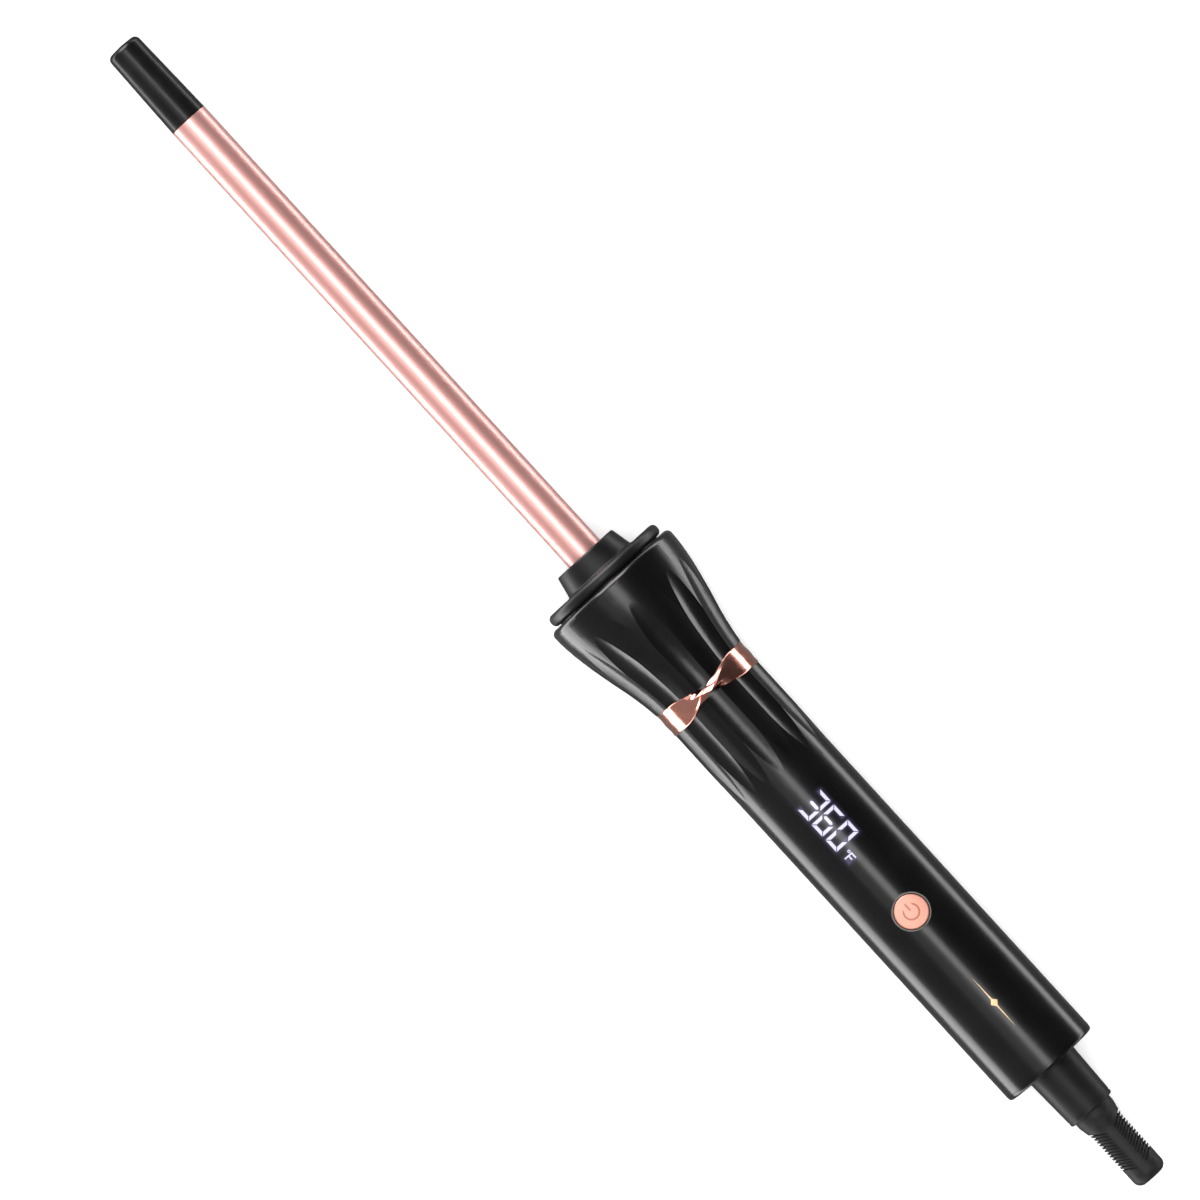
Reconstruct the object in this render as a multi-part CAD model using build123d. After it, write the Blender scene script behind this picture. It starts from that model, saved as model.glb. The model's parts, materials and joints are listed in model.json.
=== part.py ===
from build123d import *
from math import cos, radians, sin
import os

# A slim curling wand: a bare heated barrel with a cool tip, a fluted bell handle with a
# display and one push button, and a swivelling cord boot at the rear.
# Millimetres. The barrel's axis is X, its tip points to +X, and the display faces +Z.
# The origin is on the axis, where the barrel leaves its base.

os.makedirs("parts", exist_ok=True)

# ---- driving dimensions ------------------------------------------------------------
barrel_radius = 4.5
barrel_wall = 0.6
barrel_length = 125.9            # bare barrel, from the base to the cool tip
tip_length = 21.5
tip_end_radius = 4.05

nose_length = 4.93
nose_radius = 7.8
nose_root_radius = 8.85
flange_radius = 15.375
flange_back = -7.7
spigot_radius = 9.0
base_back = -24.0

handle_radius = 11.75
bell_radius = 16.93
bell_front = -7.9
bell_edge_radius = 1.3
bell_flare_from, bell_flare_to = -8.5, -41.0
waist_swell = 0.15
swell_from, swell_to = -50.0, -66.0
handle_rear = -147.2
shell_wall = 1.8

flute_count = 18
flute_depth = 0.48
flute_cutter_radius = 8.0
flute_start, flute_full_from = -12.5, -31.0
flute_full_to, flute_end = -50.0, -68.0

band_x = -39.2
band_side_width = 5.9
band_middle_width = 2.7
band_groove_radius = 11.0
band_radius = 12.25

window_from, window_to = -69.8, -88.4
window_half_width = 4.2
window_thickness = 1.2
digit_start = -71.0
digit_pitch = 4.42
digit_width = 3.5
digit_height = 6.5
digit_stroke = 0.72
digit_gap = 0.13
segment_thickness = 0.3

button_x = -103.5
button_radius = 3.85
button_top = 12.0
button_travel = 0.5
bezel_inner_radius = 4.0
bezel_outer_radius = 4.35

board_from, board_to = -58.0, -127.0
board_half_width = 8.8
board_bottom, board_top = 1.0, 2.6
board_screw_xs = (-92.5, -124.0)
board_screw_y = 7.4
shell_screw_xs = (-64.0, -120.0)
screw_boss_radius = 2.6

wire_radius = 0.65
thin_wire_radius = 0.35
board_wire_end = -59.5

end_cap_rear = -148.3
neck_rear = -161.3
neck_front = -140.0
hub_radius = 3.2
boot_radius = 4.0
boot_rear = -180.8
cord_bore_radius = 1.9
running_clearance = 0.05
joint_gap = 0.02                 # between pieces that are fitted together

inner_radius = handle_radius - shell_wall


# ---- helpers -----------------------------------------------------------------------
def turned(*outline):
    """A solid of revolution about X from (x, radius) or (x, radius, corner) points."""
    corners = [point[2] if len(point) > 2 else 0 for point in outline]
    edge = FilletPolyline(*[(point[0], point[1]) for point in outline], radius=corners, close=True)
    return revolve(make_face(edge), Axis.X)


def tube(x_front, x_rear, outer, inner=0.0):
    """A straight tube or rod along X."""
    middle = Pos((x_front + x_rear) / 2, 0, 0) * Rot(0, 90, 0)
    body = middle * Cylinder(outer, x_front - x_rear)
    if inner:
        body -= middle * Cylinder(inner, x_front - x_rear)
    return body


def block(x_front, x_rear, half_width, z_low, z_high):
    """A box that is centred on Y."""
    size = (x_front - x_rear, 2 * half_width, z_high - z_low)
    return Pos((x_front + x_rear) / 2, 0, (z_low + z_high) / 2) * Box(*size)


def post(x, y, z_low, z_high, radius):
    """A round post or hole along Z."""
    return Pos(x, y, (z_low + z_high) / 2) * Cylinder(radius, z_high - z_low)


def wire(radius, *route, bend=10.0):
    """An insulated wire along straight runs joined by tangent arcs."""
    path = FilletPolyline(*route, radius=bend) if len(route) > 2 else Polyline(*route)
    return sweep(Plane(path @ 0, z_dir=path % 0) * Circle(radius), path=path)


def ease(position, start, end):
    """0 before start, 1 past end, and a smooth rise between them."""
    share = min(1.0, max(0.0, (position - start) / (end - start)))
    return share * share * (3 - 2 * share)


def outer_radius(x):
    """The handle's outer radius: straight at the rear, flared to the bell's mouth."""
    flare = (bell_radius - handle_radius - waist_swell) * ease(x, bell_flare_to, bell_flare_from)
    return handle_radius + waist_swell * ease(x, swell_to, swell_from) + flare


def stations(x_front, x_rear, count):
    """Evenly spaced places along X."""
    return [x_front + (x_rear - x_front) * index / (count - 1) for index in range(count)]


def on_handle_skin(sketch, inner, outer):
    """A flat outline seen from above, wrapped as a layer on the handle's round top."""
    layer = tube(-60.0, -140.0, outer, inner)
    return extrude(sketch, amount=handle_radius + 5) & layer


def facing_up(x):
    """A sketch plane on the display side: text reads towards the cord."""
    return Plane(origin=(x, 0, 0), x_dir=(-1, 0, 0), z_dir=(0, 0, 1))


def screw(head_radius, head_height, shank_radius, shank_length):
    """A cross-head screw that points to +Z, with the underside of its head at z = 0."""
    body = Pos(0, 0, -head_height / 2) * Cylinder(head_radius, head_height)
    body = fillet(body.edges().sort_by(Axis.Z)[0], head_height * 0.3)
    body += Pos(0, 0, shank_length / 2) * Cylinder(shank_radius, shank_length)
    slot = Box(head_radius * 1.3, head_radius * 0.25, head_height)
    recess = Pos(0, 0, -head_height) * (slot + Rot(0, 0, 90) * slot)
    return body - recess


# ---- heated barrel -----------------------------------------------------------------
tube_bore = barrel_radius - barrel_wall
heater_front, heater_rear = 111.0, 6.0
spreader_front, spreader_rear = 112.0, 12.0
strip_half_width, strip_half_height = 2.1, 0.65
root_radius = 4.15               # the barrel's root, turned down to fit its base
flare_radius = 5.4
flare_thickness = 0.72
thermistor_z = 2.2


def make_barrel():
    front = barrel_length - 0.05
    rear = base_back + 0.03
    return turned(
        (rear, tube_bore), (front, tube_bore), (front, barrel_radius), (0, barrel_radius),
        (0, root_radius), (rear + flare_thickness, root_radius),
        (rear + flare_thickness, flare_radius), (rear, flare_radius),
    )


def make_cool_tip():
    spigot = tube_bore - joint_gap
    end = barrel_length + tip_length
    return turned(
        (barrel_length - 8, 0), (barrel_length - 8, spigot, 0.4), (barrel_length, spigot),
        (barrel_length, barrel_radius - 0.01, 0.1), (end - 0.3, tip_end_radius, 1.3), (end, 0),
    )


def make_heater_element():
    return block(heater_front, heater_rear, strip_half_width, -strip_half_height, strip_half_height)


def make_heat_spreader(side):
    """One half-round aluminium bar, grooved for the flat element; side is +1 or -1."""
    bar = tube(spreader_front, spreader_rear, tube_bore - 0.07)
    half = block(spreader_front, spreader_rear, 5, 0.03, 5)
    groove_half_width = strip_half_width + 0.05
    groove = block(spreader_front, spreader_rear, groove_half_width, -1, strip_half_height + joint_gap)
    bar = (bar & half) - groove
    if side > 0:
        well = Pos(0, 0, thermistor_z) * tube(spreader_rear + 4, spreader_rear, 0.9)
        return bar - well
    return mirror(bar, Plane.XY)


def make_thermistor():
    bead = Pos(0, 0, thermistor_z) * tube(spreader_rear + 3.2, spreader_rear + 0.2, 0.8)
    return fillet(bead.edges(), 0.35)


def make_thermistor_leads():
    start = (spreader_rear + 0.2, thermistor_z)
    end = (board_wire_end, board_top + thin_wire_radius + 0.05)
    return [
        wire(thin_wire_radius, (start[0], y, start[1]), (end[0], y, end[1]))
        for y in (-0.4, 0.4)
    ]


lead_y = 1.3
board_lead_y = 5.4
lead_z = board_top + wire_radius + joint_gap
fuse_front, fuse_rear = -42.0, -51.0


def make_heater_leads():
    neutral = wire(
        wire_radius, (heater_rear, -lead_y, 0), (-27, -lead_y, 0),
        (-42, -board_lead_y, lead_z), (board_wire_end, -board_lead_y, lead_z),
    )
    live_front = wire(
        wire_radius, (heater_rear, lead_y, 0), (-26, lead_y, 0),
        (-37, board_lead_y, lead_z), (fuse_front, board_lead_y, lead_z),
    )
    live_rear = wire(wire_radius, (fuse_rear, board_lead_y, lead_z), (board_wire_end, board_lead_y, lead_z))
    return [neutral, live_front, live_rear]


def make_thermal_fuse():
    body = Pos(0, board_lead_y, lead_z) * tube(fuse_front, fuse_rear, 1.6)
    return fillet(body.edges(), 0.5)


# ---- barrel base -------------------------------------------------------------------
skirt_radius = 13.9
skirt_inner_radius = 12.3
skirt_rear = -9.9
groove_front, groove_rear = -15.2, -17.3
groove_radius = 8.0
retainer_thickness = 1.2
retainer_screw_y = 7.0
retainer_screw_radius = 0.8


def make_barrel_base():
    bore = root_radius + 0.03
    seat = base_back + 0.03 + flare_thickness + joint_gap
    body = turned(
        (0, bore), (0, nose_radius, 0.5), (-nose_length, nose_root_radius, 0.5),
        (-nose_length, flange_radius, 1.2), (flange_back, flange_radius, 1.2),
        (flange_back, skirt_radius), (skirt_rear, skirt_radius), (skirt_rear, skirt_inner_radius),
        (flange_back, skirt_inner_radius), (flange_back, spigot_radius), (groove_front, spigot_radius),
        (groove_front, groove_radius), (groove_rear, groove_radius),
        (groove_rear, spigot_radius), (base_back, spigot_radius),
        (base_back, flare_radius + 0.05), (seat, flare_radius + 0.05), (seat, bore),
    )
    for y in (-retainer_screw_y, retainer_screw_y):
        body -= Pos(0, y, 0) * tube(base_back + 5.2, base_back, retainer_screw_radius + joint_gap)
    return body


def make_barrel_retainer():
    plate = tube(base_back, base_back - retainer_thickness, spigot_radius - 0.2, 3.6)
    for y in (-retainer_screw_y, retainer_screw_y):
        plate -= Pos(0, y, 0) * tube(base_back, base_back - retainer_thickness, 1.0)
    return plate


def make_retainer_screws():
    one = Rot(0, 90, 0) * screw(1.5, 1.0, retainer_screw_radius, retainer_thickness + 5)
    return [Pos(base_back - retainer_thickness, y, 0) * one for y in (-retainer_screw_y, retainer_screw_y)]


# ---- handle shells -----------------------------------------------------------------
shell_rib_front, shell_rib_rear = groove_front - 0.1, groove_rear + 0.1
neck_rib_front, neck_rib_rear = -138.0, -139.9
neck_rib_radius = 7.6
screw_seat_z = -8.8
screw_head_radius = 1.9


def shell_outline(inset, x_front):
    """The handle's outline curve, from its front at x_front to the straight rear part."""
    places = stations(x_front, swell_to, 17)
    points = [(x, outer_radius(x) - inset) for x in places]
    return Spline(*points, tangents=[(-1, 0), (-1, 0)])


def make_handle_body():
    curve_front = bell_front - bell_edge_radius
    mouth = outer_radius(curve_front)
    corner = (bell_front, mouth - bell_edge_radius)
    bend = bell_edge_radius * (1 - cos(radians(45)))
    outline = [
        Line((bell_front, 0), corner),
        ThreePointArc(corner, (bell_front - bend, mouth - bend), (curve_front, mouth)),
        shell_outline(0, curve_front),
        Polyline((swell_to, handle_radius), (handle_rear, handle_radius), (handle_rear, 0), (bell_front, 0)),
    ]
    return revolve(make_face(outline), Axis.X)


def make_cavity():
    front = skirt_rear - 0.6
    outline = [
        Polyline((front, 0), (front, outer_radius(front) - shell_wall)),
        shell_outline(shell_wall, front),
        Polyline((swell_to, inner_radius), (handle_rear, inner_radius), (handle_rear, 0), (front, 0)),
    ]
    seat = tube(bell_front, front, skirt_radius + 0.1)
    return revolve(make_face(outline), Axis.X) + seat


def flute_depth_at(x):
    """How deep a flute is cut; below zero the cutter is clear of the surface."""
    share = ease(x, flute_start, flute_full_from) * ease(x, flute_end, flute_full_to)
    return flute_depth * share - 0.12 * (1 - share)


def make_flute_cutter():
    """A long round cutter that follows the handle's outline above the display side."""
    places = stations(flute_start + 2, flute_end - 2, 19)
    lift = flute_cutter_radius
    path = Spline(*[(x, 0, outer_radius(x) - flute_depth_at(x) + lift) for x in places])
    return sweep(Plane(path @ 0, z_dir=path % 0) * Circle(flute_cutter_radius), path=path)


def make_flute_slice():
    """One slice of the hollow handle, with one flute along its middle."""
    half_angle = radians(180 / flute_count)
    reach = 2 * bell_radius
    corners = [(0, 0), (-reach * sin(half_angle), reach * cos(half_angle)),
               (reach * sin(half_angle), reach * cos(half_angle))]
    sector = extrude(Plane.YZ * make_face(Polyline(*corners, close=True)), amount=-200)
    return (make_handle_body() - make_flute_cutter() - make_cavity()) & sector


def band_plan(clearance):
    """The band seen from above: wide at its sides and narrow in its middle."""
    side = band_side_width / 2 + clearance
    middle = band_middle_width / 2 + clearance
    reach = band_radius + joint_gap
    front = ThreePointArc((band_x + side, -reach), (band_x + middle, 0), (band_x + side, reach))
    rear = ThreePointArc((band_x - side, reach), (band_x - middle, 0), (band_x - side, -reach))
    ends = [Line(front @ 1, rear @ 0), Line(rear @ 1, front @ 0)]
    return extrude(make_face([front, rear] + ends), amount=band_radius + 2, both=True)


def make_waist_band():
    side = band_side_width / 2
    crowned = turned(
        (band_x - side, band_groove_radius + joint_gap), (band_x + side, band_groove_radius + joint_gap),
        (band_x + side, band_radius - 0.3), (band_x, band_radius, 9), (band_x - side, band_radius - 0.3),
    )
    return crowned & band_plan(0)


def make_shell_half():
    """The half of the handle on the display side. Turned over, it is the other half too."""
    one = make_flute_slice()
    turns = range(-(flute_count // 4), flute_count // 4 + 1)
    slices = [Rot(360 / flute_count * turn, 0, 0) * one for turn in turns]
    half = slices[0] + slices[1:]
    ribs = tube(shell_rib_front, shell_rib_rear, 15.0, groove_radius + 0.05)
    ribs += tube(neck_rib_front, neck_rib_rear, inner_radius + 0.5, neck_rib_radius)
    half += ribs & block(0, handle_rear, 30, 0, 30)
    groove = tube(band_x + 5, band_x - 5, band_radius + 3, band_groove_radius)
    return half - (groove & band_plan(0.06))


def make_upper_shell(shell):
    inside = tube(-58.0, -140.0, inner_radius + 0.5)
    bosses = post(button_x, 0, 8.6, handle_radius, 6.0)
    for x in shell_screw_xs:
        bosses += post(x, 0, 0, handle_radius, screw_boss_radius)
    shell += bosses & inside
    shell -= post(button_x, 0, 8, 14, bezel_outer_radius + joint_gap)
    for x in shell_screw_xs:
        shell -= post(x, 0, 0, 4, 1.02)
    shell -= on_handle_skin(window_plan(joint_gap), inner_radius - 2, handle_radius + 1)
    return shell - on_handle_skin(inlay_plan(), inlay_radius, handle_radius + 1)


def make_lower_shell(half):
    shell = Rot(180, 0, 0) * half
    inside = tube(-58.0, -140.0, inner_radius + 0.5)
    posts = block(-130.0, -136.0, 3, -handle_radius, holder_bottom)
    for x in shell_screw_xs:
        posts += post(x, 0, -handle_radius, 0, screw_boss_radius)
    for x in board_screw_xs:
        for y in (-board_screw_y, board_screw_y):
            posts += post(x, y, -handle_radius, board_bottom, 1.8)
    shell += posts & inside
    for x in shell_screw_xs:
        shell -= post(x, 0, -handle_radius - 1, screw_seat_z, screw_head_radius + 0.15)
        shell -= post(x, 0, screw_seat_z, 0.5, 1.15)
    for x in board_screw_xs:
        for y in (-board_screw_y, board_screw_y):
            shell -= post(x, y, board_bottom - 4.2, board_bottom, 0.72)
    return shell


def make_shell_screws():
    one = screw(screw_head_radius, 1.4, 1.0, -screw_seat_z + 3)
    return [Pos(x, 0, screw_seat_z) * one for x in shell_screw_xs]


# ---- display -----------------------------------------------------------------------
def window_plan(clearance):
    size = (window_from - window_to + 2 * clearance, 2 * (window_half_width + clearance))
    return Pos((window_from + window_to) / 2, 0, 0) * RectangleRounded(*size, 0.8)


def bar_segment(centre, length, upright, outer_side):
    """One display bar. Its outer edge is longer, and outer_side 0 points both ends."""
    half, thick = length / 2, digit_stroke / 2
    if outer_side == 0:
        outline = [(-half, 0), (-half + thick, thick), (half - thick, thick), (half, 0),
                   (half - thick, -thick), (-half + thick, -thick)]
    else:
        outer, inner = thick * outer_side, -thick * outer_side
        outline = [(-half, outer), (half, outer), (half - 2 * thick, inner), (-half + 2 * thick, inner)]
    turn = 90 if upright else 0
    return Pos(*centre) * Rot(0, 0, turn) * make_face(Polyline(*outline, close=True))


def digit_bars():
    """The seven bars of one digit, by their usual letters, centred on the digit."""
    across = digit_width / 2 - digit_stroke / 2
    up = digit_height / 2 - digit_stroke / 2
    wide = digit_width - 2 * digit_gap
    tall = digit_height / 2 - 2 * digit_gap
    middle = digit_height / 4
    return {
        "a": bar_segment((0, up), wide, False, 1),
        "b": bar_segment((across, middle), tall, True, -1),
        "c": bar_segment((across, -middle), tall, True, -1),
        "d": bar_segment((0, -up), wide, False, -1),
        "e": bar_segment((-across, -middle), tall, True, 1),
        "f": bar_segment((-across, middle), tall, True, 1),
        "g": bar_segment((0, 0), wide - digit_stroke, False, 0),
    }


lit_bars = ("abcdg", "acdefg", "abcdef")      # a three-digit reading in degrees
degree_ring_radius = 0.33
unit_height = 2.1
unit_width = 1.5
unit_stroke = 0.32


def unit_mark():
    """The degree ring and the letter F, beside the last digit and near its foot."""
    left = digit_start - 14.5
    top = -0.83
    ring = Circle(degree_ring_radius) - Circle(degree_ring_radius - 0.17)
    ring = Pos(-(left + 0.5), top - degree_ring_radius) * ring
    stem = Pos(-left + unit_stroke / 2, top - unit_height / 2) * Rectangle(unit_stroke, unit_height)
    bars = Pos(-left + unit_width / 2, top - unit_stroke / 2) * Rectangle(unit_width, unit_stroke)
    short_bar = 0.84 * unit_width
    bars += Pos(-left + short_bar / 2, top - unit_height / 2) * Rectangle(short_bar, unit_stroke)
    return [ring, stem + bars]


def display_plan(lit):
    """The outlines of every lit bar, or of every dark one, seen from above."""
    plane = facing_up(0)
    outlines = []
    for place, letters in enumerate(lit_bars):
        centre = -digit_start + digit_width / 2 + place * digit_pitch
        for letter, bar in digit_bars().items():
            if (letter in letters) == lit:
                outlines.append(plane * (Pos(centre, 0) * bar))
    if lit:
        outlines += [plane * outline for outline in unit_mark()]
    return outlines


def make_display_segments(lit):
    floor = handle_radius - segment_thickness
    return [on_handle_skin(outline, floor, handle_radius + 0.01) for outline in display_plan(lit)]


def make_display_window():
    pane = on_handle_skin(window_plan(0), handle_radius - window_thickness - 0.65, handle_radius)
    flange = on_handle_skin(window_plan(0.9), inner_radius - 0.75, inner_radius - joint_gap)
    window = pane + flange
    for outline in display_plan(True) + display_plan(False):
        window -= on_handle_skin(outline, handle_radius - segment_thickness, handle_radius + 1)
    return window


def make_display_module():
    return block(-69.6, -88.4, 4.6, board_top, 7.6)


# ---- inlay on the handle -----------------------------------------------------------
inlay_from, inlay_to = -122.5, -136.9
inlay_half_width = 0.16
inlay_radius = handle_radius - 0.08


def inlay_plan():
    """A slim tapered line with a small diamond in its middle."""
    middle = (inlay_from + inlay_to) / 2
    line = make_face(Polyline(
        (inlay_from, 0), (middle, inlay_half_width), (inlay_to, 0), (middle, -inlay_half_width), close=True,
    ))
    diamond = make_face(Polyline(
        (middle - 1.1, 0), (middle, 0.9), (middle + 1.1, 0), (middle, -0.9), close=True,
    ))
    return line + diamond


def make_handle_inlay():
    return on_handle_skin(inlay_plan(), inlay_radius, handle_radius + 0.02)


# ---- power button ------------------------------------------------------------------
cap_flange_bottom, cap_flange_top = 7.2, 7.85
bezel_flange_bottom, bezel_flange_top = 8.0, 8.6
symbol_radius = 1.7
symbol_stroke = 0.42
symbol_depth = 0.15


def power_symbol():
    """An open ring with a bar in its gap, which faces the barrel."""
    ring = Circle(symbol_radius + symbol_stroke / 2) - Circle(symbol_radius - symbol_stroke / 2)
    gap = Pos(symbol_radius, 0) * Rectangle(2 * symbol_radius, 2.3)
    bar = Pos(1.25, 0) * Rectangle(1.9, symbol_stroke)
    return ring - gap + bar


def make_power_button():
    cap = post(button_x, 0, cap_flange_bottom, button_top, button_radius)
    cap = fillet(cap.edges().sort_by(Axis.Z)[-1], 0.3)
    cap += post(button_x, 0, cap_flange_bottom, cap_flange_top, 4.7)
    return cap - extrude(Pos(button_x, 0, button_top - symbol_depth) * power_symbol(), amount=1)


def make_button_bezel():
    ring = post(button_x, 0, bezel_flange_bottom, handle_radius + 0.1, bezel_outer_radius)
    ring = fillet(ring.edges().sort_by(Axis.Z)[-1], 0.12)
    ring += post(button_x, 0, bezel_flange_bottom, bezel_flange_top, 4.9)
    return ring - post(button_x, 0, 7, 13, bezel_inner_radius)


switch_top = 6.0
plunger_radius = 1.7
plunger_bottom = switch_top - 0.8
plunger_well = plunger_bottom - button_travel - 0.2


def make_switch_body():
    body = block(button_x + 3, button_x - 3, 3, board_top, switch_top)
    return body - post(button_x, 0, plunger_well, switch_top, plunger_radius + 0.1)


def make_switch_plunger():
    return post(button_x, 0, plunger_bottom, cap_flange_bottom, plunger_radius)


# ---- control board -----------------------------------------------------------------
def make_control_board():
    board = block(board_from, board_to, board_half_width, board_bottom, board_top)
    for x in shell_screw_xs:
        board -= post(x, 0, 0, 4, screw_boss_radius + 0.3)
    for x in board_screw_xs:
        for y in (-board_screw_y, board_screw_y):
            board -= post(x, y, 0, 4, 0.9)
    return board


def make_board_screws():
    one = Rot(180, 0, 0) * screw(1.25, 0.8, 0.7, board_top - board_bottom + 4)
    return [Pos(x, y, board_top) * one for x in board_screw_xs for y in (-board_screw_y, board_screw_y)]


def make_microcontroller():
    chip = Pos(-94.6, 0, board_top + 0.55) * Box(4.2, 5.0, 0.9)
    legs = []
    for side in (-1, 1):
        for index in range(8):
            foot = Pos(-94.6 + side * 2.5, (index - 3.5) * 0.6, board_top + 0.15) * Box(1.0, 0.25, 0.3)
            legs.append(foot)
    return chip + legs


def make_chip_resistors():
    places = [(x, y) for x in (-110.5, -113.0, -115.5) for y in (-5.5, -2.5, 2.5, 5.5)]
    return [Pos(x, y, board_top + 0.25) * Box(0.8, 1.6, 0.5) for x, y in places]


def make_triac():
    body = block(-87.5, -97.5, 5.0, board_bottom - 4.4, board_bottom - 0.4)
    tab = block(-97.5, -103.5, 4.9, board_bottom - 1.7, board_bottom - 0.4)
    tab -= post(-100.8, 0, board_bottom - 3, board_bottom, 1.7)
    legs = [Pos(-86.3, y, board_bottom - 0.9) * Box(2.4, 0.8, 0.5) for y in (-2.5, 0, 2.5)]
    return body + tab + legs


def make_film_capacitor():
    body = block(-68.5, -82.5, 4.2, board_bottom - 7.6, board_bottom)
    return fillet(body.edges(), 0.4)


def make_electrolytic_capacitor():
    can = Pos(0, 0, board_bottom - 3.2) * tube(-105.5, -116.0, 3.15)
    return fillet(can.edges(), 0.5)


# ---- rear end, swivel and cord boot ------------------------------------------------
hub_front = -128.5
hub_flange_front, hub_flange_rear = -138.2, -139.7
hub_sleeve_radius = 2.6
boot_front = -151.35
boot_inner_step = -160.2
ring_fronts = (-130.5, -134.0)
ring_width = 1.5
ring_radius = 4.2
holder_bottom, holder_top = -8.3, -6.3
leaf_thickness = 0.25
neck_bore_step = -151.0
boot_shoulder_radius = 4.8


def make_end_cap():
    return turned(
        (neck_front - 2.7, 6.2), (neck_front - 2.7, inner_radius - 0.03),
        (handle_rear, inner_radius - 0.03), (handle_rear, handle_radius - 0.05, 0.1),
        (end_cap_rear, handle_radius - 0.05, 0.7), (end_cap_rear, 6.2),
    )


def make_swivel_neck():
    rear_bore = boot_shoulder_radius + running_clearance
    front_bore = hub_radius + running_clearance
    neck = turned(
        (neck_front, front_bore), (neck_front, 8.6), (neck_front - 2.6, 8.6), (neck_front - 2.6, 6.15),
        (end_cap_rear, 6.15), (neck_rear, 5.7, 0.4), (neck_rear, rear_bore),
        (neck_bore_step, rear_bore), (neck_bore_step, front_bore),
    )
    return neck - tube(neck_rear + 1.15, neck_rear + 0.85, 7, 5.6)


def make_swivel_hub():
    return turned(
        (hub_front, cord_bore_radius), (hub_front, hub_radius), (hub_flange_front, hub_radius),
        (hub_flange_front, 5.2), (hub_flange_rear, 5.2), (hub_flange_rear, hub_radius),
        (boot_front, hub_radius), (boot_front, hub_sleeve_radius),
        (boot_inner_step + 0.2, hub_sleeve_radius), (boot_inner_step + 0.2, cord_bore_radius),
    )


def make_contact_rings():
    return [tube(x, x - ring_width, ring_radius, hub_radius + joint_gap) for x in ring_fronts]


slot_first, slot_last = -167.8, -177.6
slot_count = 13
slot_width = 0.36
slot_slant = 32
slot_floor_radius = 3.6
spine_half_width = 1.3


def make_boot_slots():
    """Slanted grooves along both sides of the boot, with a smooth spine above and below."""
    core = tube(slot_first + 6, slot_last - 6, slot_floor_radius)
    slots = []
    for x in stations(slot_first, slot_last, slot_count):
        for side in (-1, 1):
            reach = Pos(0, side * (spine_half_width + 3), 0) * Box(slot_width, 6, 12)
            slots.append(Pos(x, 0, 0) * Rot(0, 0, -side * slot_slant) * reach - core)
    return slots


def make_cord_boot():
    boot = turned(
        (boot_front, hub_sleeve_radius + joint_gap), (boot_front, boot_shoulder_radius, 0.2),
        (neck_rear - 1.4, boot_shoulder_radius, 3.5), (-166.2, boot_radius + 0.05, 3),
        (boot_rear, boot_radius, 1.9), (boot_rear, cord_bore_radius),
        (boot_inner_step, cord_bore_radius), (boot_inner_step, hub_sleeve_radius + joint_gap),
    )
    return boot - make_boot_slots()


def make_brush_holder():
    return block(ring_fronts[0] + 1.5, ring_fronts[1] - 3, 4.8, holder_bottom, holder_top)


def make_brush_contacts():
    """Two leaf springs on the holder, each under one of the rings."""
    top = -ring_radius - 0.1
    leaf = Polyline(
        (-4.6, holder_top), (-2.2, holder_top), (-0.5, top - leaf_thickness), (0.5, top - leaf_thickness),
        (1.6, top - 1.0), (1.6, top - 0.65), (0.6, top), (-0.7, top),
        (-2.4, holder_top + leaf_thickness), (-4.6, holder_top + leaf_thickness), close=True,
    )
    leaves = []
    for x in ring_fronts:
        plane = Plane(origin=(x - 0.3, 0, 0), x_dir=(0, 1, 0), z_dir=(1, 0, 0))
        leaves.append(extrude(plane * make_face(leaf), amount=-0.9))
    return leaves


def make_mains_leads():
    """Two short wires from the leaf springs to the board's underside."""
    low = holder_top + leaf_thickness + wire_radius + joint_gap
    high = board_bottom - wire_radius - joint_gap
    leads = []
    for x, y in zip(ring_fronts, (-3.6, 3.6)):
        route = [(x - 0.4, y, low), (-128.0, y, low), (-124.8, y, high), (-121.5, y, high)]
        leads.append(wire(wire_radius, *route, bend=2.5))
    return leads


# ---- write every sub-part ----------------------------------------------------------
def save(name, piece):
    """Write one node: a single solid, or a group of separate solids."""
    solids = []
    for item in piece if isinstance(piece, list) else [piece]:
        solids += item.solids()
    shape = solids[0] if len(solids) == 1 else Compound(children=solids)
    shape.label = name
    export_step(shape, f"parts/{name}.step")


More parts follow.
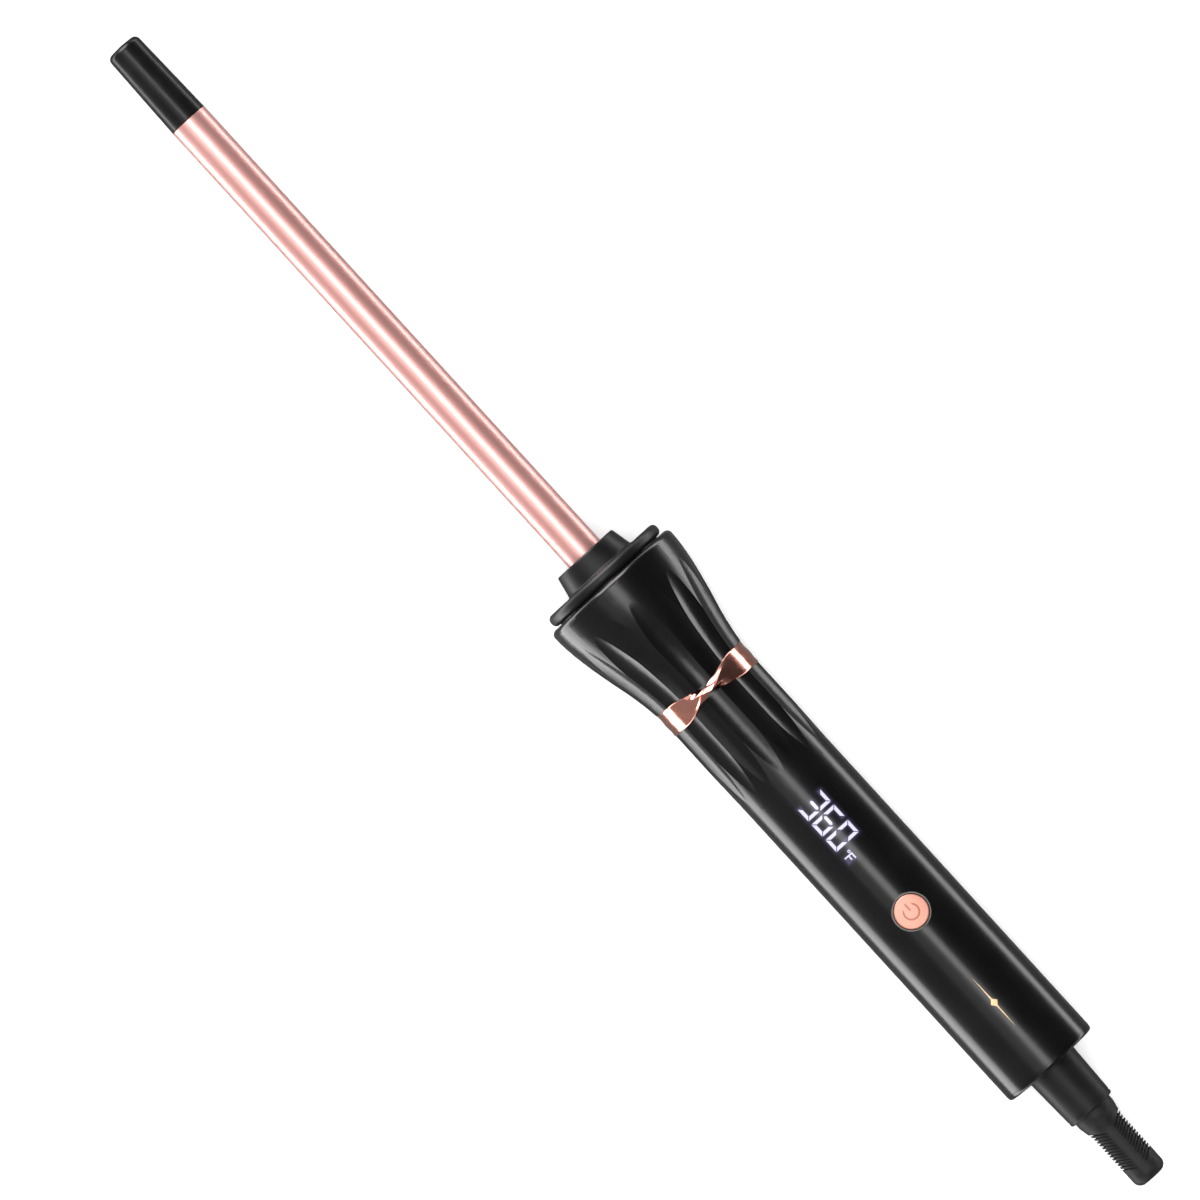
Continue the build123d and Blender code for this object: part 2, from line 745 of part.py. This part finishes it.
def main():
    half = make_shell_half()
    save("cool_tip", make_cool_tip())
    save("barrel", make_barrel())
    save("heater_element", make_heater_element())
    save("upper_heat_spreader", make_heat_spreader(1))
    save("lower_heat_spreader", make_heat_spreader(-1))
    save("thermistor", make_thermistor())
    save("thermistor_leads", make_thermistor_leads())
    save("thermal_fuse", make_thermal_fuse())
    save("heater_leads", make_heater_leads())
    save("barrel_base", make_barrel_base())
    save("barrel_retainer", make_barrel_retainer())
    save("retainer_screws", make_retainer_screws())
    save("upper_shell", make_upper_shell(half))
    save("lower_shell", make_lower_shell(half))
    save("shell_screws", make_shell_screws())
    save("waist_band", make_waist_band())
    save("display_window", make_display_window())
    save("display_segments_lit", make_display_segments(True))
    save("display_segments_dark", make_display_segments(False))
    save("display_module", make_display_module())
    save("handle_inlay", make_handle_inlay())
    save("power_button", make_power_button())
    save("button_bezel", make_button_bezel())
    save("switch_body", make_switch_body())
    save("switch_plunger", make_switch_plunger())
    save("control_board", make_control_board())
    save("board_screws", make_board_screws())
    save("microcontroller", make_microcontroller())
    save("chip_resistors", make_chip_resistors())
    save("triac", make_triac())
    save("film_capacitor", make_film_capacitor())
    save("electrolytic_capacitor", make_electrolytic_capacitor())
    save("end_cap", make_end_cap())
    save("swivel_neck", make_swivel_neck())
    save("swivel_hub", make_swivel_hub())
    save("contact_rings", make_contact_rings())
    save("brush_holder", make_brush_holder())
    save("brush_contacts", make_brush_contacts())
    save("mains_leads", make_mains_leads())
    save("cord_boot", make_cord_boot())


main()
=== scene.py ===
import json
from math import cos, pi, radians, sin

import bmesh
import bpy
from mathutils import Matrix, Vector


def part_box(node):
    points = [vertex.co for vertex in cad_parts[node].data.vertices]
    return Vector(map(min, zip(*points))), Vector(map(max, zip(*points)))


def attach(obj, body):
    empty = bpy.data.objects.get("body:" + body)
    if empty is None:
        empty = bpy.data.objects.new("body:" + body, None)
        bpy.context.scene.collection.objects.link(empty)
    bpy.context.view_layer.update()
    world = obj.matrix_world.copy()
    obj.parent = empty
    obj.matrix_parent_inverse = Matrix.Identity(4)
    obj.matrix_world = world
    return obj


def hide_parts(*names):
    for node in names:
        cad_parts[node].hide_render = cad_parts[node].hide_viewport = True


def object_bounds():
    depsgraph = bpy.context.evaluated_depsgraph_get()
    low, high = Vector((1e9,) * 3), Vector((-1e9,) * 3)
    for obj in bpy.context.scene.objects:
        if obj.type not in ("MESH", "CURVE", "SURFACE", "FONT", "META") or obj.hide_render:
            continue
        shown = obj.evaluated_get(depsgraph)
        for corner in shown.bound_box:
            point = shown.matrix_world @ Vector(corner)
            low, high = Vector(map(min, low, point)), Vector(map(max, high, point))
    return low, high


# A slim curling wand lies on a pale floor with its display up. The bare barrel points to +X
# and the cord boot to -X. All lengths are in metres.

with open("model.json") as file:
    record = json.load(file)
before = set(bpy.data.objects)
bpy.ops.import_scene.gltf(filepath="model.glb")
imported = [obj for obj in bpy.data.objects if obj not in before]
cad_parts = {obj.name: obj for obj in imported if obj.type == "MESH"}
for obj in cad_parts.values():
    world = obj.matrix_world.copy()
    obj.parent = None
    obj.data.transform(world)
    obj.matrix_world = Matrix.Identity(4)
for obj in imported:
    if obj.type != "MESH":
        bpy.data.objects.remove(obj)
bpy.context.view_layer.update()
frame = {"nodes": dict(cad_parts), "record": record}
nodes = frame["nodes"]
MM = 0.001


# ---- material helpers --------------------------------------------------------------
class Finish:
    """One node material: a Principled shader with its pattern nodes."""

    def __init__(self, name):
        self.material = bpy.data.materials.new(name)
        self.material.use_nodes = True
        self.tree = self.material.node_tree
        self.shader = self.tree.nodes["Principled BSDF"]
        self.place = self.add("ShaderNodeTexCoord").outputs["Object"]

    def add(self, kind, **settings):
        node = self.tree.nodes.new(kind)
        for key, value in settings.items():
            setattr(node, key, value)
        return node

    def link(self, source, target):
        self.tree.links.new(source, target)

    def set(self, **sockets):
        for key, value in sockets.items():
            self.shader.inputs[key.replace("_", " ")].default_value = value
        return self

    def stretched(self, scale):
        """Object coordinates in millimetres, squeezed along each axis by scale."""
        mapping = self.add("ShaderNodeMapping")
        mapping.inputs["Scale"].default_value = [1000 * s for s in scale]
        self.link(self.place, mapping.inputs["Vector"])
        return mapping.outputs["Vector"]

    def noise(self, scale=(1, 1, 1), size=1.0, detail=3.0, rough=0.5):
        """Noise whose blotches are about size millimetres across."""
        texture = self.add("ShaderNodeTexNoise")
        texture.inputs["Scale"].default_value = 1 / size
        texture.inputs["Detail"].default_value = detail
        texture.inputs["Roughness"].default_value = rough
        self.link(self.stretched(scale), texture.inputs["Vector"])
        return texture.outputs["Fac"]

    def spread(self, value, low, high, start=0.3, end=0.7):
        """value from start to end, spread over low to high."""
        ranger = self.add("ShaderNodeMapRange")
        for key, number in zip(("From Min", "From Max", "To Min", "To Max"), (start, end, low, high)):
            ranger.inputs[key].default_value = number
        self.link(value, ranger.inputs["Value"])
        return ranger.outputs["Result"]

    def tint(self, value, dark, light):
        """The shader's colour runs from dark to light with value."""
        ramp = self.add("ShaderNodeValToRGB")
        ramp.color_ramp.elements[0].position = 0.3
        ramp.color_ramp.elements[1].position = 0.7
        ramp.color_ramp.elements[0].color = (*dark, 1)
        ramp.color_ramp.elements[1].color = (*light, 1)
        self.link(value, ramp.inputs["Fac"])
        self.link(ramp.outputs["Color"], self.shader.inputs["Base Color"])
        return self

    def rough(self, value, low, high):
        self.link(self.spread(value, low, high), self.shader.inputs["Roughness"])
        return self

    def bump(self, *heights, depth=0.01):
        """Relief from one or more (value, weight) pairs; depth is in millimetres."""
        total = None
        for value, weight in heights:
            scaled = self.add("ShaderNodeMath", operation="MULTIPLY")
            scaled.inputs[1].default_value = weight
            self.link(value, scaled.inputs[0])
            if total is None:
                total = scaled.outputs[0]
            else:
                both = self.add("ShaderNodeMath", operation="ADD")
                self.link(total, both.inputs[0])
                self.link(scaled.outputs[0], both.inputs[1])
                total = both.outputs[0]
        relief = self.add("ShaderNodeBump")
        relief.inputs["Distance"].default_value = depth * MM
        self.link(total, relief.inputs["Height"])
        self.link(relief.outputs["Normal"], self.shader.inputs["Normal"])
        return self


def shade(dark, spread=0.15):
    """A colour and a slightly lighter one."""
    return dark, tuple(min(1.0, channel * (1 + spread) + 0.001) for channel in dark)


# ---- finishes of the wand ----------------------------------------------------------
def gloss_black_lacquer():
    """High-gloss lacquer: almost mirror-smooth, with the faintest waviness and polishing haze."""
    finish = Finish("gloss_black_lacquer").set(Specular_IOR_Level=0.30)
    haze = finish.noise(size=9, detail=4)
    finish.tint(haze, (0.0022, 0.0022, 0.0024), (0.0036, 0.0036, 0.0038))
    finish.rough(haze, 0.215, 0.245)
    waves = finish.noise(scale=(0.3, 1, 1), size=3.5, detail=1)
    return finish.bump((waves, 1), depth=0.002)


def satin_black_plastic(name, low, high, grain_depth):
    """Moulded heat-resistant plastic with a spark-eroded grain."""
    finish = Finish(name).set(Specular_IOR_Level=0.22)
    cloud = finish.noise(size=6, detail=4)
    grain = finish.noise(size=0.12, detail=2)
    finish.tint(cloud, (0.0035, 0.0035, 0.0037), (0.0060, 0.0060, 0.0064))
    finish.rough(cloud, low, high)
    return finish.bump((grain, 1), (cloud, 0.4), depth=grain_depth)


def rose_gold_coating():
    """The barrel's satin coating, with a fine mottle from spraying."""
    finish = Finish("rose_gold_coating").set(Metallic=0.88, Coat_Weight=0.8, Coat_Roughness=0.28)
    cloud = finish.noise(size=14, detail=3)
    spray = finish.noise(size=0.25, detail=3)
    finish.tint(cloud, (0.730, 0.365, 0.335), (0.775, 0.395, 0.365))
    finish.rough(spray, 0.40, 0.43)
    return finish.bump((spray, 1), depth=0.00012)


def rose_gold_plating():
    """Polished electroplating on the waist band."""
    finish = Finish("rose_gold_plating").set(Metallic=1.0)
    cloud = finish.noise(size=3, detail=3)
    finish.tint(cloud, (0.700, 0.300, 0.235), (0.780, 0.355, 0.285))
    finish.rough(cloud, 0.12, 0.17)
    return finish.bump((cloud, 1), depth=0.002)


def button_anodising():
    """Satin rose-gold cap with fine concentric turning marks, and painted shade in the engraved symbol and
    down the cap's rounded rim.
    """
    finish = Finish("button_anodising").set(Metallic=0.45)
    low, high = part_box("power_button")
    middle = (low + high) / 2
    centred = finish.add("ShaderNodeMapping")
    centred.inputs["Location"].default_value = [-1000 * middle.x, 0, 0]
    centred.inputs["Scale"].default_value = [1000, 1000, 0]
    finish.link(finish.place, centred.inputs["Vector"])
    radius = finish.add("ShaderNodeVectorMath", operation="LENGTH")
    finish.link(centred.outputs["Vector"], radius.inputs[0])
    turning = finish.add("ShaderNodeTexNoise", noise_dimensions="1D")
    turning.inputs["Scale"].default_value = 7.0
    turning.inputs["Detail"].default_value = 3.0
    finish.link(radius.outputs["Value"], turning.inputs["W"])
    cloud = finish.noise(size=2.5, detail=3)
    # Painted shade: below the top face (in the engraved symbol and down the rounded rim) the cap is coloured
    # darker; the cloud adds a random mottle on top.
    depth = finish.add("ShaderNodeSeparateXYZ")
    finish.link(finish.place, depth.inputs["Vector"])
    flat = finish.spread(depth.outputs["Z"], 0, 1, high.z - 0.14 * MM, high.z - 0.02 * MM)
    recess_shade_and_mottle = finish.add("ShaderNodeMath", operation="MULTIPLY")
    finish.link(flat, recess_shade_and_mottle.inputs[0])
    finish.link(finish.spread(cloud, 0.8, 1.0), recess_shade_and_mottle.inputs[1])
    finish.tint(recess_shade_and_mottle.outputs[0], (0.280, 0.100, 0.068), (0.500, 0.225, 0.165))
    finish.rough(turning.outputs["Fac"], 0.36, 0.44)
    dome = finish.add("ShaderNodeMath", operation="POWER")
    dome.inputs[1].default_value = 2
    finish.link(radius.outputs["Value"], dome.inputs[0])
    return finish.bump((turning.outputs["Fac"], 0.003), (dome.outputs[0], -0.012), depth=1)


def chrome_plating():
    finish = Finish("chrome_plating").set(Metallic=1.0)
    haze = finish.noise(size=2, detail=3)
    finish.tint(haze, (0.030, 0.028, 0.027), (0.045, 0.042, 0.040))
    finish.rough(haze, 0.16, 0.22)
    return finish.bump((haze, 1), depth=0.001)


def gold_foil():
    """Hot-stamped foil, a little uneven."""
    finish = Finish("gold_foil").set(Metallic=0.9)
    crinkle = finish.noise(size=0.5, detail=4)
    finish.tint(crinkle, (0.36, 0.24, 0.13), (0.50, 0.35, 0.20))
    finish.rough(crinkle, 0.30, 0.45)
    return finish.bump((crinkle, 1), depth=0.003)


def lit_bar_glow():
    """Cool white light through a diffusing bar."""
    finish = Finish("lit_bar_glow").set(Roughness=0.35, Emission_Strength=0.92)
    mottle = finish.noise(size=0.35, detail=2)
    finish.tint(mottle, (0.05, 0.05, 0.06), (0.08, 0.08, 0.09))
    ramp = finish.add("ShaderNodeValToRGB")
    ramp.color_ramp.elements[0].color = (0.74, 0.70, 0.98, 1)
    ramp.color_ramp.elements[1].color = (0.90, 0.88, 1.0, 1)
    finish.link(mottle, ramp.inputs["Fac"])
    finish.link(ramp.outputs["Color"], finish.shader.inputs["Emission Color"])
    return finish.bump((mottle, 1), depth=0.002)


def matte_black_plastic():
    """The swivel neck: fine matte grain."""
    return satin_black_plastic("matte_black_plastic", 0.42, 0.52, 0.010)


def boot_rubber():
    """Soft black rubber with a dusty bloom."""
    finish = Finish("boot_rubber").set(Specular_IOR_Level=0.22)
    bloom = finish.noise(size=1.6, detail=5)
    grain = finish.noise(size=0.08, detail=2)
    finish.tint(bloom, (0.006, 0.006, 0.0064), (0.012, 0.012, 0.0124))
    finish.rough(bloom, 0.48, 0.62)
    return finish.bump((grain, 1), (bloom, 0.6), depth=0.008)


def plain_part(name, colour, low, high, size=1.0, depth=0.004, metal=0.0, spread=0.15):
    """A finish for a piece inside: mottled colour, roughness and a fine relief."""
    finish = Finish(name).set(Metallic=metal)
    mottle = finish.noise(size=size, detail=4)
    finish.tint(mottle, *shade(colour, spread))
    finish.rough(mottle, low, high)
    return finish.bump((mottle, 1), depth=depth)


def woven_sleeve():
    """A braided glass sleeve on the inner wires."""
    finish = Finish("woven_sleeve")
    braid = finish.add("ShaderNodeTexWave", bands_direction="DIAGONAL")
    braid.inputs["Scale"].default_value = 1.2
    braid.inputs["Distortion"].default_value = 1.5
    finish.link(finish.stretched((1, 1, 1)), braid.inputs["Vector"])
    finish.tint(braid.outputs["Fac"], (0.46, 0.45, 0.41), (0.68, 0.67, 0.62))
    finish.rough(braid.outputs["Fac"], 0.6, 0.8)
    return finish.bump((braid.outputs["Fac"], 1), depth=0.04)


def circuit_board_mask():
    """Green solder mask with lighter tracks."""
    finish = Finish("circuit_board_mask").set(Specular_IOR_Level=0.5)
    tracks = finish.add("ShaderNodeTexBrick")
    tracks.inputs["Scale"].default_value = 0.35
    tracks.inputs["Mortar Size"].default_value = 0.06
    finish.link(finish.stretched((1, 1, 1)), tracks.inputs["Vector"])
    finish.tint(tracks.outputs["Fac"], (0.010, 0.075, 0.028), (0.030, 0.160, 0.065))
    finish.rough(finish.noise(size=1.0), 0.28, 0.42)
    return finish.bump((tracks.outputs["Fac"], 1), depth=0.03)


BLACK = (0.020, 0.020, 0.021)
STEEL = (0.42, 0.43, 0.45)

FINISHES = {
    "gloss_black": gloss_black_lacquer(),
    "smoked_window": gloss_black_lacquer(),
    "dark_segments": gloss_black_lacquer(),
    "cool_tip_plastic": satin_black_plastic("cool_tip_plastic", 0.26, 0.34, 0.004),
    "base_plastic": satin_black_plastic("base_plastic", 0.36, 0.45, 0.008),
    "matte_black": matte_black_plastic(),
    "boot_rubber": boot_rubber(),
    "rose_gold_barrel": rose_gold_coating(),
    "rose_gold_trim": rose_gold_plating(),
    "button_satin": button_anodising(),
    "bezel_chrome": chrome_plating(),
    "gold_foil": gold_foil(),
    "lit_segments": lit_bar_glow(),
    "wire_insulation": woven_sleeve(),
    "board": circuit_board_mask(),
    "ceramic": plain_part("ceramic", (0.70, 0.68, 0.62), 0.5, 0.7),
    "aluminium": plain_part("aluminium", (0.55, 0.55, 0.57), 0.28, 0.42, size=0.6, metal=1.0),
    "glass_bead": plain_part("glass_bead", (0.22, 0.11, 0.06), 0.08, 0.2, size=0.4),
    "fuse_case": plain_part("fuse_case", (0.50, 0.48, 0.43), 0.25, 0.4, size=0.7, metal=0.9),
    "zinc_steel": plain_part("zinc_steel", STEEL, 0.25, 0.4, size=0.5, metal=1.0),
    "black_screw": plain_part("black_screw", BLACK, 0.35, 0.5, size=0.4, metal=0.6),
    "white_plastic": plain_part("white_plastic", (0.72, 0.72, 0.70), 0.4, 0.55),
    "dark_plastic": plain_part("dark_plastic", BLACK, 0.4, 0.6, size=0.5),
    "chip_ceramic": plain_part("chip_ceramic", (0.035, 0.033, 0.032), 0.3, 0.5, size=0.4),
    "capacitor_case": plain_part("capacitor_case", (0.55, 0.34, 0.05), 0.25, 0.4),
    "capacitor_can": plain_part("capacitor_can", (0.020, 0.035, 0.090), 0.25, 0.4),
    "hub_nylon": plain_part("hub_nylon", (0.035, 0.035, 0.036), 0.4, 0.55),
    "brass": plain_part("brass", (0.60, 0.42, 0.14), 0.2, 0.35, size=0.5, metal=1.0),
    "bronze_spring": plain_part("bronze_spring", (0.48, 0.25, 0.11), 0.2, 0.35, size=0.5, metal=1.0),
}


def add_halo(finish, bars, reach=0.26, colour=(0.55, 0.50, 1.0), strength=0.13):
    """Scattered light in the smoked window round each lit bar; reach is in millimetres."""
    place = finish.stretched((1, 1, 0))
    nearest = None
    for low, high in bars:
        middle = 500 * (low + high)
        half = 500 * (high - low)
        offset = finish.add("ShaderNodeVectorMath", operation="SUBTRACT")
        offset.inputs[1].default_value = (middle.x, middle.y, 0)
        size = finish.add("ShaderNodeVectorMath", operation="ABSOLUTE")
        outside = finish.add("ShaderNodeVectorMath", operation="SUBTRACT")
        outside.inputs[1].default_value = (half.x, half.y, 0)
        clamped = finish.add("ShaderNodeVectorMath", operation="MAXIMUM")
        length = finish.add("ShaderNodeVectorMath", operation="LENGTH")
        finish.link(place, offset.inputs[0])
        finish.link(offset.outputs["Vector"], size.inputs[0])
        finish.link(size.outputs["Vector"], outside.inputs[0])
        finish.link(outside.outputs["Vector"], clamped.inputs[0])
        finish.link(clamped.outputs["Vector"], length.inputs[0])
        if nearest is None:
            nearest = length.outputs["Value"]
        else:
            lesser = finish.add("ShaderNodeMath", operation="MINIMUM")
            finish.link(nearest, lesser.inputs[0])
            finish.link(length.outputs["Value"], lesser.inputs[1])
            nearest = lesser.outputs[0]
    fall = finish.add("ShaderNodeMath", operation="MULTIPLY")
    fall.inputs[1].default_value = -1 / reach
    glow = finish.add("ShaderNodeMath", operation="EXPONENT")
    level = finish.add("ShaderNodeMath", operation="MULTIPLY")
    level.inputs[1].default_value = strength
    finish.link(nearest, fall.inputs[0])
    finish.link(fall.outputs[0], glow.inputs[0])
    finish.link(glow.outputs[0], level.inputs[0])
    finish.link(level.outputs[0], finish.shader.inputs["Emission Strength"])
    finish.shader.inputs["Emission Color"].default_value = (*colour, 1)


def separate_boxes(node):
    """The box of each separate solid in a node, from the links between its points."""
    mesh = nodes[node].data
    group = list(range(len(mesh.vertices)))

    def root(index):
        while group[index] != index:
            group[index] = group[group[index]]
            index = group[index]
        return index

    places = {}
    for vertex in mesh.vertices:
        key = tuple(round(c, 7) for c in vertex.co)
        group[vertex.index] = places.setdefault(key, vertex.index)
    for edge in mesh.edges:
        first, second = (root(index) for index in edge.vertices)
        group[first] = second
    solids = {}
    for vertex in mesh.vertices:
        solids.setdefault(root(vertex.index), []).append(vertex.co)
    return [
        (Vector(map(min, zip(*points))), Vector(map(max, zip(*points))))
        for points in solids.values()
    ]


# ---- the twisted waist band --------------------------------------------------------
def select_where(piece, test, kind="verts"):
    """In edit mode, select the points, edges or faces whose middle passes the test."""
    mesh = bmesh.from_edit_mesh(piece.data)
    for collection in (mesh.verts, mesh.edges, mesh.faces):
        for element in collection:
            element.select = False
    for element in getattr(mesh, kind):
        if kind == "verts":
            chosen = test(element.co)
        elif kind == "edges":
            chosen = test(*(vertex.co for vertex in element.verts))
        else:
            chosen = test(element.calc_center_median(), element.normal)
        if chosen:
            element.select_set(True)
    mesh.select_flush_mode()
    bmesh.update_edit_mesh(piece.data)


def apply_modifier(piece, kind, **settings):
    modifier = piece.modifiers.new(kind.lower(), kind)
    for key, value in settings.items():
        setattr(modifier, key, value)
    bpy.ops.object.modifier_apply(modifier=modifier.name)


def make_twisted_band():
    """A ribbon with a ridge along each side, twisted half a turn at the front and at the back.

    It is made as a straight bar along X, twisted so that its flat sides face inward and
    outward between the twists, and then bent into a ring.
    """
    low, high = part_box("waist_band")
    overhang = 0.16 * MM
    half_width = (high.x - low.x) / 2 + overhang
    ridge_height = 0.46
    # Each row is a share of half_width and the half-thickness there, in millimetres.
    section = ((0.924, 0.42), (0.707, 0.24), (0.383, 0.24), (0.0, ridge_height))
    ring_radius = high.z - ridge_height * MM
    length = 2 * pi * ring_radius
    waist = (1, 0.47, 2.3)
    waist_reach = radians(48) * ring_radius
    twist_reaches = (33, 26, 18)
    half_turn = 180 / len(twist_reaches)

    bpy.ops.object.select_all(action="DESELECT")
    bpy.ops.mesh.primitive_cylinder_add(
        vertices=16, radius=half_width, depth=length, end_fill_type="NOTHING", rotation=(0, pi / 2, 0))
    band = bpy.context.object
    band.name = "twisted_waist_band"
    bpy.ops.object.transform_apply(location=False, rotation=True, scale=True)
    bpy.ops.object.mode_set(mode="EDIT")
    bpy.ops.mesh.select_mode(type="VERT")
    for share, thickness in section:
        select_where(band, lambda co: abs(abs(co.y) - share * half_width) < 0.02 * half_width)
        height = half_width * (1 - share * share) ** 0.5
        bpy.ops.transform.resize(value=(1, 1, thickness * MM / height))
    bpy.ops.mesh.select_mode(type="EDGE")
    select_where(band, lambda a, b: abs(a.x - b.x) > length * 0.9, "edges")
    bpy.ops.mesh.subdivide(number_cuts=99)

    bpy.ops.mesh.select_mode(type="VERT")
    for place in (0.0, length / 2):
        select_where(band, lambda co: abs(abs(co.x) - place) < 1e-6)
        bpy.ops.transform.resize(
            value=waist, center_override=(0, 0, 0),
            use_proportional_edit=True, use_proportional_connected=False,
            proportional_edit_falloff="SMOOTH", proportional_size=waist_reach)
    bpy.ops.object.mode_set(mode="OBJECT")

    for reach in twist_reaches:
        share = reach / 360
        for limits, angle in (
            ((0.5 - share, 0.5 + share), half_turn),
            ((0.0, share), half_turn / 2),
            ((1 - share, 1.0), half_turn / 2),
        ):
            apply_modifier(band, "SIMPLE_DEFORM", deform_method="TWIST", deform_axis="X",
                           angle=-radians(angle), limits=limits)
    apply_modifier(band, "SIMPLE_DEFORM", deform_method="BEND", deform_axis="Z", angle=2 * pi)

    bpy.ops.object.mode_set(mode="EDIT")
    bpy.ops.mesh.select_all(action="SELECT")
    bpy.ops.mesh.remove_doubles(threshold=0.01 * MM)
    bpy.ops.mesh.normals_make_consistent(inside=False)
    bpy.ops.object.mode_set(mode="OBJECT")
    apply_modifier(band, "SUBSURF", levels=1, render_levels=1)
    ys = [vertex.co.y for vertex in band.data.vertices]
    centre = Vector((0, (min(ys) + max(ys)) / 2, 0))
    front = -1 if centre.y > 0 else 1
    turn = Matrix(((0, 0, front), (1, 0, 0), (0, front, 0))).to_4x4()
    band.matrix_world = Matrix.Translation(((low.x + high.x) / 2, 0, 0)) @ turn @ Matrix.Translation(-centre)
    bpy.ops.object.transform_apply(location=True, rotation=True, scale=True)
    bpy.ops.object.shade_smooth_by_angle(angle=radians(50))
    band.data.materials.append(FINISHES["rose_gold_trim"].material)
    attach(band, "handle")
    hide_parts("waist_band")
    return band


def dress_cad_nodes():
    """Every carried-over node takes the finish of its record slot."""
    slots = {row["node"]: row["material_slot"] for row in frame["record"]["subparts"]}
    for name, node in nodes.items():
        node.data.materials.clear()
        node.data.materials.append(FINISHES[slots[name]].material)


# ---- studio ------------------------------------------------------------------------
wand_low, wand_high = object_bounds()
FLOOR_Z = wand_low.z - 0.0001


def make_floor():
    """A pale floor. Mirror-like rays see it dimmer, as in a studio with dark flags."""
    floor_size = 6
    seen_in_reflections = 0.24
    bpy.ops.mesh.primitive_plane_add(size=floor_size, location=(0, 0, FLOOR_Z))
    floor = bpy.context.object
    floor.name = "floor"
    material = bpy.data.materials.new("pale_floor")
    material.use_nodes = True
    tree = material.node_tree
    shader = tree.nodes["Principled BSDF"]
    shader.inputs["Base Color"].default_value = (0.86, 0.86, 0.86, 1)
    shader.inputs["Roughness"].default_value = 0.9
    shader.inputs["Specular IOR Level"].default_value = 0.1
    shader.inputs["Emission Color"].default_value = (1, 1, 1, 1)
    shader.inputs["Emission Strength"].default_value = 0.35
    flag = tree.nodes.new("ShaderNodeEmission")
    flag.inputs["Color"].default_value = (1, 1, 1, 1)
    flag.inputs["Strength"].default_value = seen_in_reflections
    rays = tree.nodes.new("ShaderNodeLightPath")
    mix = tree.nodes.new("ShaderNodeMixShader")
    tree.links.new(rays.outputs["Is Glossy Ray"], mix.inputs["Fac"])
    tree.links.new(shader.outputs["BSDF"], mix.inputs[1])
    tree.links.new(flag.outputs["Emission"], mix.inputs[2])
    tree.links.new(mix.outputs["Shader"], tree.nodes["Material Output"].inputs["Surface"])
    floor.data.materials.append(material)


def make_world():
    """A dim surround, a little brighter on the +Y side, that the camera sees near white."""
    dim, bright, seen_by_camera = 0.07, 0.40, 0.95
    world = bpy.data.worlds.new("studio")
    bpy.context.scene.world = world
    world.use_nodes = True
    tree = world.node_tree
    background = tree.nodes["Background"]
    background.inputs["Color"].default_value = (1, 1, 1, 1)
    direction = tree.nodes.new("ShaderNodeTexCoord")
    parts = tree.nodes.new("ShaderNodeSeparateXYZ")
    ramp = tree.nodes.new("ShaderNodeMapRange")
    ramp.inputs["From Min"].default_value = -0.6
    ramp.inputs["From Max"].default_value = 0.6
    ramp.inputs["To Min"].default_value = dim
    ramp.inputs["To Max"].default_value = bright
    tree.links.new(direction.outputs["Generated"], parts.inputs["Vector"])
    tree.links.new(parts.outputs["Y"], ramp.inputs["Value"])
    rays = tree.nodes.new("ShaderNodeLightPath")
    seen = tree.nodes.new("ShaderNodeMix")
    seen.inputs["B"].default_value = seen_by_camera
    tree.links.new(rays.outputs["Is Camera Ray"], seen.inputs["Factor"])
    tree.links.new(ramp.outputs["Result"], seen.inputs["A"])
    tree.links.new(seen.outputs["Result"], background.inputs["Strength"])


def add_light(name, place, target, size, power, glossy=True, diffuse=True):
    """A rectangular light that faces target and that the camera doesn't see."""
    data = bpy.data.lights.new(name, "AREA")
    data.shape = "RECTANGLE"
    data.size, data.size_y = size
    data.energy = power
    light = bpy.data.objects.new(name, data)
    bpy.context.collection.objects.link(light)
    light.location = place
    aim = (Vector(target) - Vector(place)).normalized()
    across = Vector((0, 1, 0)) if abs(aim.x) > 0.5 else Vector((1, 0, 0))
    up = (-aim).cross(across)
    light.matrix_world = Matrix.Translation(place) @ Matrix((across, up, -aim)).transposed().to_4x4()
    light.visible_glossy = glossy
    light.visible_diffuse = diffuse
    light.visible_camera = False
    return light


def make_lights():
    """A soft top light, a long strip and a fill above, a low strip on each side, one off the tip."""
    middle_x = (wand_low.x + wand_high.x) / 2
    add_light("soft_top", (middle_x, 0, 2.4), (middle_x, 0, 0), (2.6, 2.6), 62, glossy=False)
    add_light("top_strip", (middle_x, 0.10, 2.2), (middle_x, 0, 0), (1.6, 0.55), 21)
    add_light("top_fill", (middle_x, 0.85, 2.1), (middle_x, 0, 0), (1.6, 1.0), 4.5)
    for y, width, power in ((-0.135, 0.13, 2.0), (0.125, 0.16, 2.7)):
        place = (middle_x, y, FLOOR_Z + 0.0005)
        add_light("low_strip", place, (middle_x, y, 1), (0.7, width), power)
    add_light("tip_side", (1.5, 0, 0.75), (0, 0, 0), (1.3, 1.4), 75, diffuse=False)


def make_camera():
    """Straight above the display side, with the tip towards the upper left of the frame."""
    lean = radians(47.6)
    right = Vector((-cos(lean), -sin(lean), 0))
    up = Vector((sin(lean), -cos(lean), 0))
    distance = 3.0
    view_width = 0.2572
    frame_middle = (-0.00954, 0.00423)
    data = bpy.data.cameras.new("camera")
    data.sensor_width = 36
    data.lens = data.sensor_width * distance / view_width
    camera = bpy.data.objects.new("camera", data)
    bpy.context.collection.objects.link(camera)
    place = Vector((*frame_middle, distance))
    turn = Matrix((right, up, Vector((0, 0, 1)))).transposed().to_4x4()
    camera.matrix_world = Matrix.Translation(place) @ turn
    bpy.context.scene.camera = camera


dress_cad_nodes()
for slot in ("smoked_window", "dark_segments"):
    add_halo(FINISHES[slot], separate_boxes("display_segments_lit"))
make_twisted_band()
make_floor()
make_world()
make_lights()
make_camera()
bpy.context.scene.view_settings.view_transform = "Standard"
